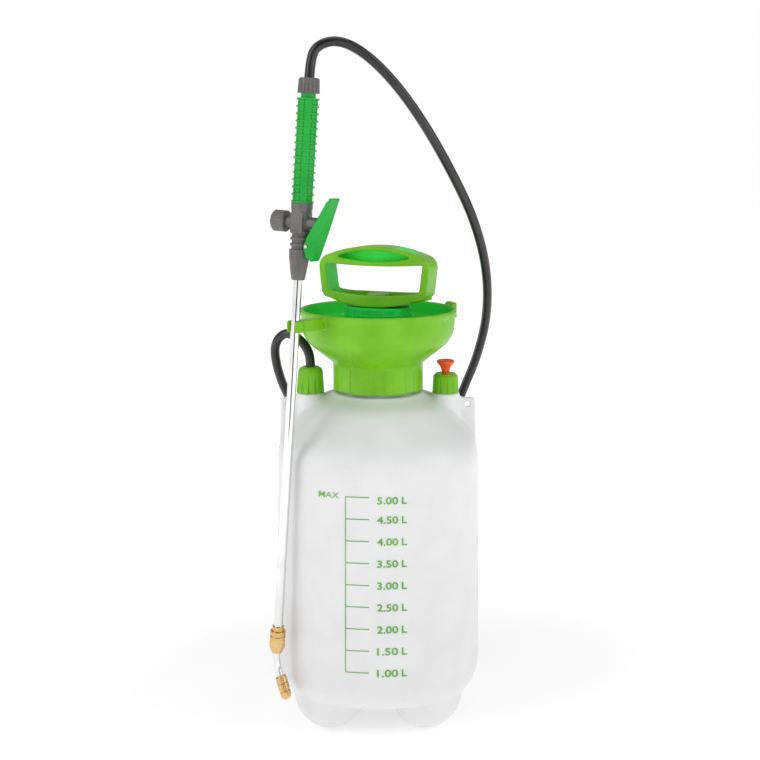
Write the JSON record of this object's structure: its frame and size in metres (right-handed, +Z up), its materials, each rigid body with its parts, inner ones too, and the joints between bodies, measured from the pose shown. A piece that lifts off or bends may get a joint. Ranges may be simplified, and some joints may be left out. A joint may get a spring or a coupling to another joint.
{
  "type": "pump sprayer",
  "caption": "Hand-pumped pressure sprayer: footed tank, funnel collar with D-handle pump, relief valve, hose, and clipped trigger lance with brass nozzle.",
  "frame": {"origin": "on the tank's axis, at the level that the four feet stand on", "axes": "+Z up the tank, -Y towards the side with the level scale, X through the two ports and strap lugs"},
  "size_m": [0.2173, 0.2186, 0.6248],
  "materials": {
    "tank_plastic": "translucent white, satin",
    "lime_plastic": "satin moulded, lime green",
    "dark_green_plastic": "satin moulded, green",
    "green_plastic": "satin moulded, bright green",
    "grey_plastic": "satin moulded, mid grey",
    "white_plastic": "satin moulded",
    "clear_plastic": "soft extruded tube",
    "red_plastic": "satin moulded, orange red",
    "seal_rubber": "matt black",
    "hose_rubber": "glossy black, smooth",
    "spring_steel": "drawn wire",
    "polished_steel": "polished stainless tube",
    "brass": "turned brass"
  },
  "bodies": {
    "tank": {"tank": "tank_plastic", "neck_gasket": "seal_rubber", "funnel_collar": "lime_plastic", "pump_barrel": "white_plastic", "barrel_washer": "seal_rubber", "barrel_cap": "dark_green_plastic", "foot_valve": "seal_rubber", "hose_nut": "lime_plastic", "outlet_barb": "white_plastic", "outlet_seal": "seal_rubber", "dip_tube": "clear_plastic", "dip_filter": "white_plastic", "relief_cap": "lime_plastic", "relief_seat": "white_plastic", "relief_seal": "seal_rubber", "relief_spring": "spring_steel", "hose": "hose_rubber"},
    "relief_knob": {"relief_knob": "red_plastic", "relief_disc": "seal_rubber"},
    "pump_seal": {"piston_seal": "seal_rubber"},
    "pump_rod": {"pump_rod": "white_plastic", "piston": "white_plastic", "pump_handle": "lime_plastic", "handle_pin": "spring_steel"},
    "lance": {"grip": "green_plastic", "grip_hose_nut": "grey_plastic", "grip_barb": "white_plastic", "grip_filter": "white_plastic", "valve_body": "grey_plastic", "valve_cap": "grey_plastic", "collar_nut": "grey_plastic", "collar_seal": "seal_rubber", "lance_tube": "polished_steel", "union_nut": "brass", "bent_tube": "polished_steel", "nozzle_body": "brass", "swirl_core": "brass", "nozzle_seal": "seal_rubber", "trigger_pin": "spring_steel", "plunger_spring": "spring_steel"},
    "trigger": {"trigger_lever": "green_plastic"},
    "plunger": {"valve_plunger": "grey_plastic", "plunger_seal": "seal_rubber"},
    "nozzle_cap": {"nozzle_cap": "brass"}
  },
  "joints": [
    {"name": "pump_stroke", "type": "slide", "parent": "tank", "child": "pump_seal", "axis": [0, 0, 1], "range_m": [0, 0.19]},
    {"name": "handle_turn", "type": "hinge", "parent": "pump_seal", "child": "pump_rod", "pos_m": [0, 0, 0.38], "axis": [0, 0, 1], "continuous": true},
    {"name": "relief_lift", "type": "slide", "parent": "tank", "child": "relief_knob", "axis": [0, 0, 1], "range_m": [0, 0.003], "stiffness_N_per_m": 800, "springref_m": -0.004, "deforming": ["relief_spring"]},
    {"name": "lance_unclip", "type": "slide", "parent": "tank", "child": "lance", "axis": [-0.6927, -0.7201, 0.0393], "range_m": [0, 0.04]},
    {"name": "trigger_squeeze", "type": "hinge", "parent": "lance", "child": "trigger", "pos_m": [-0.05984, -0.08082, 0.4386], "axis": [-0.4538, -0.8907, 0.0258], "range_deg": [0, 12], "stiffness_Nm_per_rad": 0.4, "springref_deg": -8.59},
    {"name": "plunger_push", "type": "slide", "parent": "lance", "child": "plunger", "axis": [-0.8893, 0.4546, 0.0505], "range_m": [0, 0.0049], "deforming": ["plunger_spring"]},
    {"name": "nozzle_turn", "type": "hinge", "parent": "lance", "child": "nozzle_cap", "pos_m": [-0.08437, -0.07946, 0.05356], "axis": [-0.3244, 0.1921, 0.9262], "range_deg": [0, 270]}
  ],
  "couplings": [
    {"joint": "plunger_push", "follows": "trigger_squeeze", "m_per_rad": 0.0231}
  ]
}
